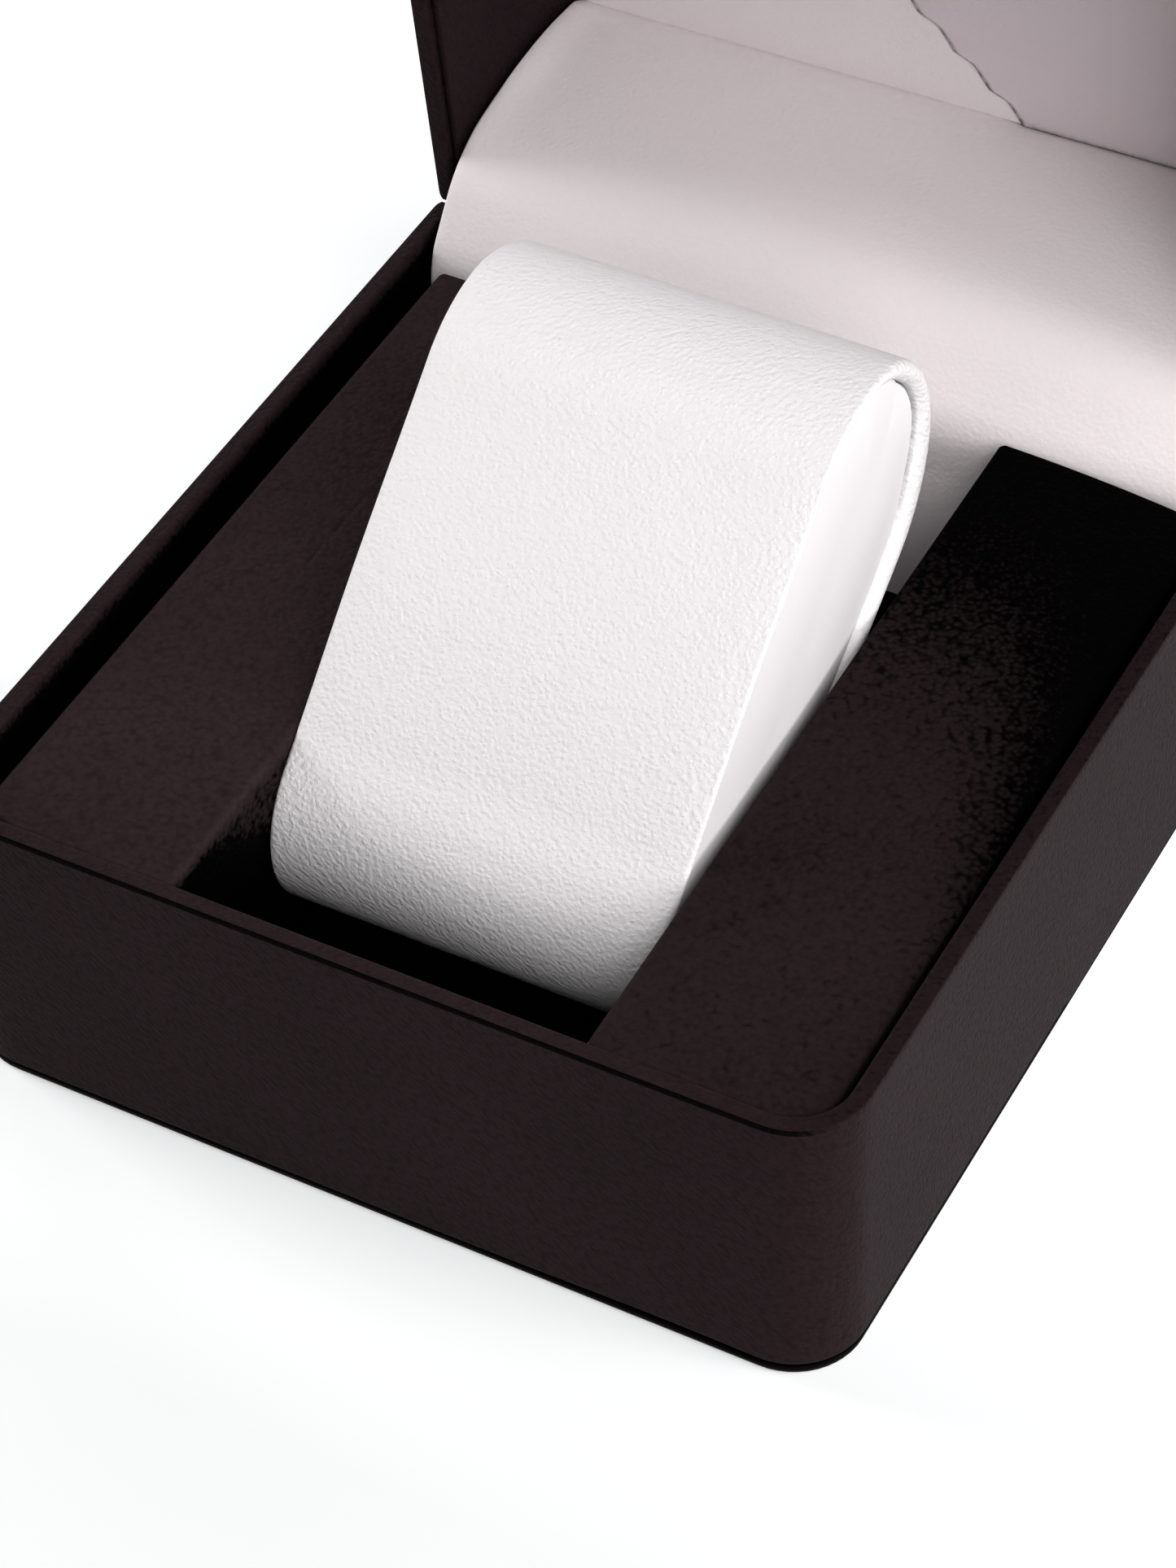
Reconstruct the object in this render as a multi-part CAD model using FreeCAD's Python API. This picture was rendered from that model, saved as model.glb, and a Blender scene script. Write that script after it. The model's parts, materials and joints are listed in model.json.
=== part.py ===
"""Hinged presentation box for a watch or bracelet, standing open.

Frame: origin at the centre of the base's underside, +X to the right, +Y to the back, +Z up. The lid is
built closed, then turned back about the hinge line. Lengths are in millimetres, angles in degrees.
"""
import FreeCAD, Part
import math
import os

V = FreeCAD.Vector
X_AXIS = V(1, 0, 0)

# --- driving dimensions ---------------------------------------------------------------------------
# box
box_width = 110.0
box_depth = 117.4
base_height = 39.4          # table to rim
lid_height = 38.0           # rim to top
front_corner_radius = 8.5
back_corner_radius = 2.6
board_thickness = 1.4       # greyboard of both trays
skin_thickness = 0.4        # leatherette glued over the board
rim_gap = 0.4               # between the two rims, closed
lid_open_angle = 82.6       # closed to the open stop

# layers under the base
sheet_thickness = 0.3
sheet_inset = 2.0
bottom_board_thickness = 0.8
bottom_board_inset = 0.3
filler_thickness = 0.5
filler_inset = 2.5
turned_skin_width = 8.0     # skin glued under the tray's floor

# blocks and well
side_gaps = {-1: 3.8, 1: 1.2}       # side walls to the left and the right block
front_gap = 0.8             # front wall to block
well_sides = {-1: 24.4, 1: 24.8}    # the well's left and right side, from the middle
block_drop = 1.3            # rim down to the blocks' tops
block_board_thickness = 1.2
block_skin_thickness = 0.5
block_edge_radius = 0.9
block_corner_radius = 5.2   # outer front corner, which nests in the tray's corner
well_pad_thickness = 8.0
back_clearance = 0.8        # blocks to the rear lining
fit_clearance = 0.4         # soft pieces beside what they sit in

# linings
rear_lining_thickness = 0.8
rear_lining_drop = 0.6      # rim down to its top edge
rear_lining_setback = 8.6   # hinge line to its back face
roll_radius = 6.9           # lid's back lining, round the hinge line
roll_start_angle = 14.0     # up from level, in the open pose
roll_end_angle = 58.0
lining_rise = 11.1          # hinge line up to the flat stretch, in the open pose
back_lining_thickness = 0.8
back_lining_side_gap = 0.7  # its sides to the side linings
side_lining_thickness = 0.8
side_lining_setback = 1.2   # lid rim to the side linings' edge
pad_board_thickness = 1.6
pad_thickness = 2.6
pad_joint_gap = 0.3         # pad edge to the back lining

# hinges
hinge_side_setback = 25.0   # side of the box to a hinge's middle
hinge_length = 20.0
leaf_thickness = 0.6
leaf_reach = 13.0           # hinge line to the leaf's far edge
knuckle_radius = 1.4
pin_radius = 0.7
centre_knuckle_length = 9.2
running_gap = 0.3           # between parts that turn past each other
pin_clearance = 0.05        # radial, in the turning knuckle
spring_width = 6.0
spring_thickness = 0.4
rivet_spacing = 14.0
rivet_setback = 8.0         # hinge line to the rivets
rivet_radius = 0.8
rivet_head_radius = 1.5
rivet_head_height = 0.5
rivet_play = 0.02

# pillow
pillow_width = 48.1
nose_radius = 13.5          # low front end
crown_radius = 17.0         # high back end
nose_setback = 35.2         # box front to the nose's centre
crown_setback = 72.5        # box front to the crown's centre
nose_to_crown_rise = 29.3
pillow_seat_gap = 0.3       # over the well pad
wrap_thickness = 2.4
former_thickness = 1.0
panel_recess = 1.2
panel_board_thickness = 1.2
panel_cover_thickness = 0.5
panel_clearance = 0.1

# --- places worked out from them ------------------------------------------------------------------
front = -box_depth / 2
back = box_depth / 2
wall = board_thickness + 2 * skin_thickness
tray_low = sheet_thickness + bottom_board_thickness + filler_thickness
floor_top = tray_low + skin_thickness + board_thickness
hinge_y = back - wall - leaf_thickness + knuckle_radius
hinge_z = base_height + rim_gap / 2
hinge_point = V(0, hinge_y, hinge_z)
lining_back = hinge_y - rear_lining_setback
lining_front = lining_back - rear_lining_thickness
block_back = lining_front - back_clearance
block_top = base_height - block_drop
cavity_half_width = box_width / 2 - wall
hinge_centres = (hinge_side_setback - box_width / 2, box_width / 2 - hinge_side_setback)
lid_rim = base_height + rim_gap
lid_top = lid_rim + lid_height
lid_ceiling = lid_top - skin_thickness - board_thickness
pad_board_low = lid_ceiling - pad_board_thickness
pad_face = pad_board_low - pad_thickness


# --- building blocks ------------------------------------------------------------------------------
def box(x_low, x_high, y_low, y_high, z_low, z_high):
    return Part.makeBox(x_high - x_low, y_high - y_low, z_high - z_low, V(x_low, y_low, z_low))


def vertical_edges(shape, side):
    """The upright edges in the front (side -1) or back (side +1) half of a block."""
    middle = shape.BoundBox.Center.y
    return [edge for edge in shape.Edges
            if abs(edge.tangentAt(edge.FirstParameter).z) > 0.99
            and (edge.CenterOfMass.y - middle) * side > 0]


def outline_block(inset, z_low, z_high):
    """A block with the box's outline drawn in by inset: wide front corners, tight back ones."""
    block = box(-box_width / 2 + inset, box_width / 2 - inset, front + inset, back - inset, z_low, z_high)
    for radius, side in ((front_corner_radius, -1), (back_corner_radius, 1)):
        if radius > inset:
            block = block.makeFillet(radius - inset, vertical_edges(block, side))
    return block


def prism(points, half_width):
    """A solid of constant YZ section, across X, from (y, z) points."""
    ring = [V(-half_width, y, z) for y, z in points]
    face = Part.Face(Part.makePolygon(ring + ring[:1]))
    return face.extrude(X_AXIS * (2 * half_width))


def bevel_tool(inset):
    """What the hinge line's bevel removes above the base's back edge, drawn in by inset."""
    start = hinge_y - inset * math.sqrt(2)
    reach = back + 1 - start
    points = [(start, base_height), (back + 1, base_height - reach), (back + 1, base_height + 1),
              (start, base_height + 1)]
    return prism(points, box_width)


def knuckle_notches():
    """Room for the hinges' knuckles in the base's back wall."""
    half = hinge_length / 2 + running_gap
    low = hinge_z - knuckle_radius - running_gap
    cuts = [box(x - half, x + half, back - wall - 1, back + 1, low, base_height + 1) for x in hinge_centres]
    return cuts[0].fuse(cuts[1])


def rivet_hole(x, side):
    """One rivet's hole, from the base leaf's face through the wall to the board's outer face."""
    start = V(x + side * rivet_spacing / 2, back - wall - leaf_thickness, hinge_z - rivet_setback)
    return Part.makeCylinder(rivet_radius, wall + leaf_thickness - skin_thickness, start, V(0, 1, 0))


def tray(low, turned_width):
    """A tray's board and skin, in the base's place. A turned_width of 0 covers the whole underside."""
    floor = low + skin_thickness + board_thickness
    board = outline_block(skin_thickness, low + skin_thickness, base_height - skin_thickness)
    board = board.cut(outline_block(skin_thickness + board_thickness, floor, base_height))
    board = board.cut(bevel_tool(skin_thickness))
    skin = outline_block(0, low, base_height).cut(outline_block(wall, floor, base_height + 1))
    skin = skin.cut(bevel_tool(0)).cut(board)
    if turned_width:
        skin = skin.cut(outline_block(turned_width, low, low + skin_thickness))
    for cut in [knuckle_notches()] + [rivet_hole(x, side) for x in hinge_centres for side in (-1, 1)]:
        board = board.cut(cut)
        skin = skin.cut(cut)
    return board, skin


def to_lid(shape):
    """Mirrors a base shape over the hinge plane, so that it fits the closed lid."""
    return shape.mirror(hinge_point, V(0, 0, 1))


def opened(shape):
    """Turns a closed lid's shape back to the open stop."""
    turned = shape.copy()
    turned.rotate(hinge_point, X_AXIS, -lid_open_angle)
    return turned


# --- base -----------------------------------------------------------------------------------------
def base_parts():
    board, skin = tray(tray_low, turned_skin_width)
    board_low = sheet_thickness
    board_high = board_low + bottom_board_thickness
    return {
        "bottom_sheet": outline_block(sheet_inset, 0, sheet_thickness),
        "bottom_board": outline_block(bottom_board_inset, board_low, board_high),
        "filler_board": outline_block(filler_inset, board_high, tray_low),
        "base_board": board,
        "base_skin": skin,
    }


def block_body(side, inset):
    """One block drawn in by inset at its sides and top, with its outer front corner round."""
    inner = side * (well_sides[side] + inset)
    outer = side * (cavity_half_width - side_gaps[side] - inset)
    x_low, x_high = sorted((inner, outer))
    y_low = front + wall + front_gap + inset
    body = box(x_low, x_high, y_low, block_back - inset, floor_top, block_top - inset)
    corner = [edge for edge in vertical_edges(body, -1) if abs(edge.CenterOfMass.x - outer) < 1e-6]
    return body.makeFillet(block_corner_radius - inset, corner)


def block_parts(side):
    """One block's folded card and its skin; side is -1 for the left one and +1 for the right one."""
    body = block_body(side, 0)
    inner = side * well_sides[side]
    soft_edges = [edge for edge in body.Edges if abs(edge.CenterOfMass.z - block_top) < 1e-6]
    soft_edges += vertical_edges(body, 1)
    soft_edges += [edge for edge in vertical_edges(body, -1) if abs(edge.CenterOfMass.x - inner) < 1e-6]
    body = body.makeFillet(block_edge_radius, soft_edges)
    card = block_body(side, block_skin_thickness)
    hollow = block_body(side, block_skin_thickness + block_board_thickness)
    return card.cut(hollow), body.cut(card)


def well_pad():
    half = well_sides[-1] - fit_clearance
    y_low = front + wall + front_gap
    return box(-half, half, y_low, block_back, floor_top, floor_top + well_pad_thickness)


def rear_lining():
    half = cavity_half_width - fit_clearance
    return box(-half, half, lining_front, lining_back, floor_top, base_height - rear_lining_drop)


# --- hinges ---------------------------------------------------------------------------------------
def knuckle(x_low, x_high, bore):
    """A leaf's rolled edge: a tube round the hinge line."""
    start = V(x_low, hinge_y, hinge_z)
    tube = Part.makeCylinder(knuckle_radius, x_high - x_low, start, X_AXIS)
    return tube.cut(Part.makeCylinder(bore, x_high - x_low, start, X_AXIS))


def leaf(x, knuckles, bore):
    """A hinge leaf in the base's place: a plate on the back wall with knuckles at the given spans."""
    y_high = hinge_y - knuckle_radius + leaf_thickness
    y_low = y_high - leaf_thickness
    low = hinge_z - leaf_reach
    shoulder = hinge_z - knuckle_radius - running_gap
    plate = box(x - hinge_length / 2, x + hinge_length / 2, y_low, y_high, low, shoulder)
    bore_room = Part.makeCylinder(bore, hinge_length, V(x - hinge_length / 2, hinge_y, hinge_z), X_AXIS)
    for x_low, x_high in knuckles:
        neck = box(x_low, x_high, y_low, y_high, shoulder, hinge_z)
        plate = plate.fuse(neck).fuse(knuckle(x_low, x_high, bore))
    plate = plate.cut(bore_room).removeSplitter()
    for side in (-1, 1):
        plate = plate.cut(rivet_hole(x, side))
    return plate


def rivet(x, side):
    """A headed rivet in the base's place, from the leaf's face to the board's outer face."""
    face = back - wall - leaf_thickness
    centre = V(x + side * rivet_spacing / 2, face, hinge_z - rivet_setback)
    length = wall + leaf_thickness - skin_thickness
    shank = Part.makeCylinder(rivet_radius - rivet_play, length, centre, V(0, 1, 0))
    head = Part.makeCylinder(rivet_head_radius, rivet_head_height, centre, V(0, -1, 0))
    return shank.fuse(head).removeSplitter()


def snap_spring(x):
    """Flat spring on the base's leaf, ending just short of the turning knuckle."""
    y_high = hinge_y - knuckle_radius
    top = hinge_z - knuckle_radius - running_gap
    return box(x - spring_width / 2, x + spring_width / 2, y_high - spring_thickness, y_high,
               hinge_z - leaf_reach, top)


def hinge_parts():
    base_nodes, lid_nodes = {}, {}
    for name, x in zip(("left", "right"), hinge_centres):
        centre_half = centre_knuckle_length / 2
        end = hinge_length / 2
        outer = [(x - end, x - centre_half - running_gap), (x + centre_half + running_gap, x + end)]
        base_nodes["hinge_base_leaf_" + name] = leaf(x, outer, pin_radius)
        base_nodes["hinge_pin_" + name] = Part.makeCylinder(pin_radius, hinge_length,
                                                            V(x - end, hinge_y, hinge_z), X_AXIS)
        base_nodes["snap_spring_" + name] = snap_spring(x)
        lid_leaf = leaf(x, [(x - centre_half, x + centre_half)], pin_radius + pin_clearance)
        lid_nodes["hinge_lid_leaf_" + name] = to_lid(lid_leaf)
    rivets = [rivet(x, side) for x in hinge_centres for side in (-1, 1)]
    base_nodes["base_rivets"] = Part.makeCompound(rivets)
    lid_nodes["lid_rivets"] = Part.makeCompound([to_lid(shape) for shape in rivets])
    return base_nodes, lid_nodes


# --- lid, closed ----------------------------------------------------------------------------------
def lining_setback(depth):
    """Hinge line to the back lining's visible face, closed, at a depth above the hinge line."""
    turn = math.radians(lid_open_angle)
    return lining_rise * math.sin(turn) - lining_run(depth, lining_rise) * math.cos(turn)


def lid_parts():
    board, skin = tray(base_height - lid_height, 0)
    inset = wall + side_lining_thickness + fit_clearance
    pad_back = hinge_y - lining_setback(pad_face - hinge_z) - pad_joint_gap
    pad = outline_block(inset, pad_face, pad_board_low)
    beyond = box(-box_width, box_width, pad_back, back, pad_face, pad_board_low)
    return {
        "lid_board": to_lid(board),
        "lid_skin": to_lid(skin),
        "lid_wall_lining": lid_wall_lining(),
        "lid_pad_board": outline_block(inset, pad_board_low, lid_ceiling),
        "lid_pad": pad.cut(beyond),
    }


def lid_wall_lining():
    """Strip bent round inside the lid's side and front walls, set back from the rim."""
    low = lid_rim + side_lining_setback
    strip = outline_block(wall, low, lid_ceiling)
    strip = strip.cut(outline_block(wall + side_lining_thickness, low, lid_ceiling))
    strip_back = back - back_corner_radius - side_lining_thickness
    return strip.cut(box(-box_width, box_width, strip_back, back, low, lid_ceiling))


# --- the lid's back lining, in the open pose ------------------------------------------------------
def lining_run(depth, rise):
    """How far behind the hinge line a level sheet at this rise meets a plane at this depth in the lid."""
    turn = math.radians(lid_open_angle)
    return (depth - rise * math.cos(turn)) / math.sin(turn)


def point_at(centre, radius, angle):
    """A point on a circle about a YZ centre; the angle rises from the -Y side."""
    turn = math.radians(angle)
    return centre + V(0, -radius * math.cos(turn), radius * math.sin(turn))


def back_lining():
    """Sheet that rolls over the hinge line, bends up gently and runs level to the lid's pad."""
    end_sine = math.sin(math.radians(roll_end_angle))
    bend_radius = (lining_rise - roll_radius * end_sine) / (1 - end_sine)
    joint = point_at(hinge_point, roll_radius, roll_end_angle)
    bend_centre = joint - point_at(V(0, 0, 0), bend_radius, roll_end_angle)
    paths = []
    for inset in (0, back_lining_thickness):
        spans = ((hinge_point, roll_radius - inset, roll_start_angle, roll_end_angle),
                 (bend_centre, bend_radius - inset, roll_end_angle, 90))
        arcs = [[point_at(centre, radius, angle) for angle in (start, (start + end) / 2, end)]
                for centre, radius, start, end in spans]
        run = lining_run(pad_board_low - hinge_z, lining_rise - inset)
        paths.append((arcs, V(0, hinge_y + run, arcs[1][2].z)))
    edges = []
    for arcs, end in paths:
        edges += [Part.Arc(*points).toShape() for points in arcs]
        edges.append(Part.LineSegment(arcs[1][2], end).toShape())
    (upper, upper_end), (lower, lower_end) = paths
    edges.append(Part.LineSegment(upper[0][0], lower[0][0]).toShape())
    edges.append(Part.LineSegment(upper_end, lower_end).toShape())
    face = Part.Face(Part.Wire(Part.__sortEdges__(edges)))
    half = cavity_half_width - side_lining_thickness - back_lining_side_gap
    sheet = face.extrude(X_AXIS * (2 * half))
    sheet.translate(V(-half, 0, 0))
    return sheet


# --- pillow ---------------------------------------------------------------------------------------
def pillow_section(inset):
    """Face round two circles, nose and crown, joined by their outer tangents and drawn in by inset."""
    nose = V(0, front + nose_setback, floor_top + well_pad_thickness + pillow_seat_gap + nose_radius)
    crown = V(0, front + crown_setback, nose.z + nose_to_crown_rise)
    along = crown - nose
    lean = math.atan2(along.z, along.y)
    spread = math.acos((nose_radius - crown_radius) / along.Length)
    radii = (nose_radius - inset, crown_radius - inset)

    def on_circle(centre, radius, angle):
        return centre + V(0, radius * math.cos(angle), radius * math.sin(angle))

    nose_top, crown_top = [on_circle(c, r, lean + spread) for c, r in zip((nose, crown), radii)]
    nose_low, crown_low = [on_circle(c, r, lean - spread) for c, r in zip((nose, crown), radii)]
    nose_tip = on_circle(nose, radii[0], lean + math.pi)
    crown_tip = on_circle(crown, radii[1], lean)
    outline = [Part.LineSegment(nose_top, crown_top), Part.Arc(crown_top, crown_tip, crown_low),
               Part.LineSegment(crown_low, nose_low), Part.Arc(nose_low, nose_tip, nose_top)]
    return Part.Face(Part.Wire([curve.toShape() for curve in outline]))


def pillow_slab(inset, x_low, x_high):
    slab = pillow_section(inset).extrude(X_AXIS * (x_high - x_low))
    slab.translate(V(x_low, 0, 0))
    return slab


def pillow_parts():
    half = pillow_width / 2
    face = half - panel_recess
    board_face = face - panel_cover_thickness
    filled = board_face - panel_board_thickness
    core = pillow_slab(wrap_thickness + former_thickness, -filled, filled)
    parts = {
        "pillow_wrap": pillow_slab(0, -half, half).cut(pillow_slab(wrap_thickness, -half, half)),
        "pillow_former": pillow_slab(wrap_thickness, -filled, filled).cut(core),
        "pillow_core": core,
    }
    edge = wrap_thickness + panel_clearance
    for name, side in (("left", -1), ("right", 1)):
        board_span = sorted((side * filled, side * board_face))
        cover_span = sorted((side * board_face, side * face))
        parts["pillow_side_board_" + name] = pillow_slab(edge, *board_span)
        parts["pillow_side_cover_" + name] = pillow_slab(edge, *cover_span)
    return parts


# --- all nodes ------------------------------------------------------------------------------------
def all_parts():
    parts = base_parts()
    for name, side in (("left", -1), ("right", 1)):
        card, cover = block_parts(side)
        parts["block_board_" + name] = card
        parts["block_skin_" + name] = cover
    parts["well_pad"] = well_pad()
    parts["rear_lining"] = rear_lining()
    base_hinges, lid_hinges = hinge_parts()
    parts.update(base_hinges)
    closed_lid = lid_parts()
    closed_lid.update(lid_hinges)
    parts.update({name: opened(shape) for name, shape in closed_lid.items()})
    parts["lid_back_lining"] = back_lining()
    parts.update(pillow_parts())
    return parts


os.makedirs("parts", exist_ok=True)
for node, shape in all_parts().items():
    shape.exportStep("parts/" + node + ".step")
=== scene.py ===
"""Presentation box for a watch or bracelet, standing open: dark leatherette outside, a pale lining and
a white pillow inside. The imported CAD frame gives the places; lengths below are in millimetres.
"""
import json
import math

import bpy
import numpy as np
from mathutils import Matrix, Vector


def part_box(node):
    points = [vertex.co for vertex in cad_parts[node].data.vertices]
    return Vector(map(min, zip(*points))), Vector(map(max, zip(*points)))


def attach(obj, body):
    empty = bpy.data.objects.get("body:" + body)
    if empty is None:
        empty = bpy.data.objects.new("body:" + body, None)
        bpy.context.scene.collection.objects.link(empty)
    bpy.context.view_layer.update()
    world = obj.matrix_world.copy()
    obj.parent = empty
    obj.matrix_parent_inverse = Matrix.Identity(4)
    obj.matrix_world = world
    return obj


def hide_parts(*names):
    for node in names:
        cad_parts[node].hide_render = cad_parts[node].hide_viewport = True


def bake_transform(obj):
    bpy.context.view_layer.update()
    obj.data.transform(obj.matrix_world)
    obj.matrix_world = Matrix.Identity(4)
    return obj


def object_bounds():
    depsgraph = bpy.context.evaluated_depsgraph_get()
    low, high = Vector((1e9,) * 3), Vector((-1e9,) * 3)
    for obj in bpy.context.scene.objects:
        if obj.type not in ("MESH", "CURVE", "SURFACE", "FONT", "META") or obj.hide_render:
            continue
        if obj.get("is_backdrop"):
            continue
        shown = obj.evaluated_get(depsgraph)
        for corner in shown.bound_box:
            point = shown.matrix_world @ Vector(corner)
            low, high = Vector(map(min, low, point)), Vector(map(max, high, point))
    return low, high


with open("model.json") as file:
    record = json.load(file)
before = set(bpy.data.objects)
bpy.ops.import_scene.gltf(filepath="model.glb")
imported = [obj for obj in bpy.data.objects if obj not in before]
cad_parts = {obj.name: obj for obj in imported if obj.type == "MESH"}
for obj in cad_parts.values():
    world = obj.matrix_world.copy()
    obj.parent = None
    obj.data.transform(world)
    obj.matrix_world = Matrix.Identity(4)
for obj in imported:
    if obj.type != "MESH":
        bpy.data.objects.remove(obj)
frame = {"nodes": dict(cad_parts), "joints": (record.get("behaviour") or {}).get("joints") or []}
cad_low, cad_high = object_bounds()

# --- bottom board and flock sheet -----------------------------------------------------------------
# The box stands on a dark flocked sheet, glued under a thin board that is covered with grained paper,
# painted near black as painted shade for the shadow under the skin. A smaller filler board holds the tray
# just clear, so the board's edge shows as a lip below it.
MM = 0.001
SPACING = 1.4                   # between points along a straight side
ARC_STEPS = 12                  # round each corner of an outline
CUT_STEPS = 5                   # round each cut corner of a profile
SHARP_ANGLE = 38                # degrees past which an edge shows as sharp


def place(node):
    """A CAD node's lowest and highest corner, in millimetres."""
    return [np.array(corner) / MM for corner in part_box(node)]


def outline(size, inset, stops=()):
    """Rounded rectangle drawn in by inset, anticlockwise from above: at each corner an arc of radius
    R - inset turns a quarter round its centre, and straight runs join the arcs. size is (half width,
    half depth, front left radius, front right radius, back radius); stops are places across the back
    that get a point each."""
    half_x, half_y, left_radius, right_radius, back_radius = size
    corners = ((1, -1, right_radius), (1, 1, back_radius), (-1, 1, back_radius), (-1, -1, left_radius))
    arcs, shares = [], []
    for k, (side_x, side_y, radius) in enumerate(corners):
        arc_radius = max(radius - inset, 0.01)
        centre = np.array([side_x * (half_x - inset - arc_radius), side_y * (half_y - inset - arc_radius)])
        angle = np.linspace(k - 1, k, ARC_STEPS + 1) * np.pi / 2
        arcs.append(centre + arc_radius * np.stack([np.cos(angle), np.sin(angle)], 1))
        run = 2 * (half_y if k % 2 == 0 else half_x) - radius - corners[(k + 1) % 4][2]
        share = np.linspace(0, 1, max(2, round(run / SPACING)) + 1)[1:-1]
        if k == 1 and len(stops):
            share = np.sort(np.append(share, (half_x - radius - np.array(stops)) / run))
        shares.append(share[:, None])
    points = []
    for k, arc in enumerate(arcs):
        points += [arc, arc[-1] + shares[k] * (arcs[(k + 1) % 4][0] - arc[-1])]
    return np.concatenate(points)


def profile(corners, steps):
    """Line through (across, up, cut) corners, with a number of steps along each run. A corner with a cut
    is the parabola (1-t)^2 A + 2t(1-t) C + t^2 B, A and B lying at the cut's length before and after it."""
    at = np.array([corner[:2] for corner in corners], float)
    run = np.diff(at, axis=0)
    unit = run / np.linalg.norm(run, axis=1, keepdims=True)
    t = np.linspace(0, 1, CUT_STEPS + 1)[:, None]
    line, start = [], at[0]
    for k, count in enumerate(steps):
        cut = corners[k + 1][2]
        end = at[k + 1] - unit[k] * cut
        line.append(start + np.linspace(0, 1, count + 1)[:-1, None] * (end - start))
        start = at[k + 1]
        if cut:
            start = start + unit[k + 1] * cut
            line.append(((1 - t) ** 2 * end + 2 * t * (1 - t) * at[k + 1] + t**2 * start)[:-1])
    return np.concatenate(line + [start[None]])


def swept(size, path, stops=()):
    """Stack of outlines: ring k is the outline drawn in by path[k, 0], at the height path[k, 1]."""
    rings = np.stack([outline(size, inset, stops) for inset in path[:, 0]])
    heights = np.broadcast_to(path[:, 1, None], rings.shape[:2])
    return np.concatenate([rings, heights[..., None]], 2)


def shell_parts(stack, joined):
    """Corners, faces and UVs over a stack of closed rings. Quads join each ring to the next; fans round
    the end rings' middles close the ends, unless joined, where the last ring meets the first. U is the
    mean distance round the rings and V the mean distance along the stack, in metres."""
    rings, count = stack.shape[:2]
    i, j = np.meshgrid(np.arange(rings if joined else rings - 1), np.arange(count), indexing="ij")
    i, j = i.ravel(), j.ravel()
    ring, following, across = i * count, (i + 1) % rings * count, (j + 1) % count
    u = np.append(0, np.cumsum(np.linalg.norm(np.roll(stack, -1, 1) - stack, axis=2).mean(0))) * MM
    v = np.append(0, np.cumsum(np.linalg.norm(np.roll(stack, -1, 0) - stack, axis=2).mean(1))) * MM
    points = stack.reshape(-1, 3)
    faces = [np.stack([ring + j, ring + across, following + across, following + j], 1)]
    uvs = [np.stack([u[j], v[i], u[j + 1], v[i], u[j + 1], v[i + 1], u[j], v[i + 1]], 1).reshape(-1, 4, 2)]
    for end, forward in () if joined else ((0, False), (rings - 1, True)):
        points = np.concatenate([points, stack[end].mean(0)[None]])
        j = np.arange(count)
        rim_pair = (j, (j + 1) % count) if forward else ((j + 1) % count, j)
        fan = np.stack([np.full(count, len(points) - 1)] + [end * count + part for part in rim_pair], 1)
        faces.append(fan)
        uvs.append(points[fan][..., :2] * MM)
    return points, faces, uvs


def volume(points, faces):
    """Enclosed volume: the sum of the triangles' corner products over six, a quad being two triangles."""
    total = 0
    for group in faces:
        for k in range(1, group.shape[1] - 1):
            a, b, c = points[group[:, 0]], points[group[:, k]], points[group[:, k + 1]]
            total += np.einsum("ij,ij->", a, np.cross(b, c)) / 6
    return total


def put(name, data):
    """A new object in the scene."""
    made = bpy.data.objects.new(name, data)
    bpy.context.scene.collection.objects.link(made)
    return made


def build(name, points, faces, uvs, marks=None):
    """Mesh object from corners in millimetres, groups of faces and their UVs. marks are named values for
    the first corners, kept as attributes that the finish reads."""
    mesh = bpy.data.meshes.new(name)
    mesh.from_pydata((points * MM).tolist(), [], sum([group.tolist() for group in faces], []))
    uv_values = np.concatenate([group.reshape(-1) for group in uvs]).astype(np.float32)
    mesh.uv_layers.new(name="surface").data.foreach_set("uv", uv_values)
    for mark, values in (marks or {}).items():
        kept = np.zeros(len(points), np.float32)
        kept[: values.size] = values.ravel()
        mesh.attributes.new(mark, "FLOAT", "POINT").data.foreach_set("value", kept)
    mesh.shade_smooth()
    mesh.set_sharp_from_angle(angle=math.radians(SHARP_ANGLE))
    return put(name, mesh)


def shell(name, *stacks, joined=False, marks=None):
    """Closed mesh over a stack of rings, or over an outer stack and the cavities in it. Where the volume
    has the wrong sign the faces are reversed, so that all of them point out of the material."""
    points, faces, uvs = np.zeros((0, 3)), [], []
    for k, stack in enumerate(stacks):
        more_points, more_faces, more_uvs = shell_parts(stack, joined)
        if (volume(more_points, more_faces) < 0) != (k > 0):
            more_faces = [group[:, ::-1] for group in more_faces]
            more_uvs = [group[:, ::-1] for group in more_uvs]
        faces += [group + len(points) for group in more_faces]
        uvs += more_uvs
        points = np.concatenate([points, more_points])
    return build(name, points, faces, uvs, marks)


def add(tree, kind, inputs=(), **settings):
    """Adds a shader node. inputs are values or sockets, by the input's name or number."""
    made = tree.nodes.new("ShaderNode" + kind)
    for name, value in settings.items():
        setattr(made, name, value)
    for name, value in dict(inputs).items():
        if isinstance(value, bpy.types.NodeSocket):
            tree.links.new(value, made.inputs[name])
        else:
            made.inputs[name].default_value = value
    return made


def new_material(name):
    """An empty node material, its tree and its Object coordinates."""
    made = bpy.data.materials.new(name)
    made.use_nodes = True
    made.node_tree.nodes.clear()
    return made, made.node_tree, add(made.node_tree, "TexCoord").outputs["Object"]


def noise(tree, at, size, detail=3.0, distortion=0.0):
    """Noise whose lumps are about size millimetres across."""
    inputs = {"Vector": at, "Scale": 1 / (size * MM), "Detail": detail, "Distortion": distortion}
    return add(tree, "TexNoise", inputs).outputs["Fac"]


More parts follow.
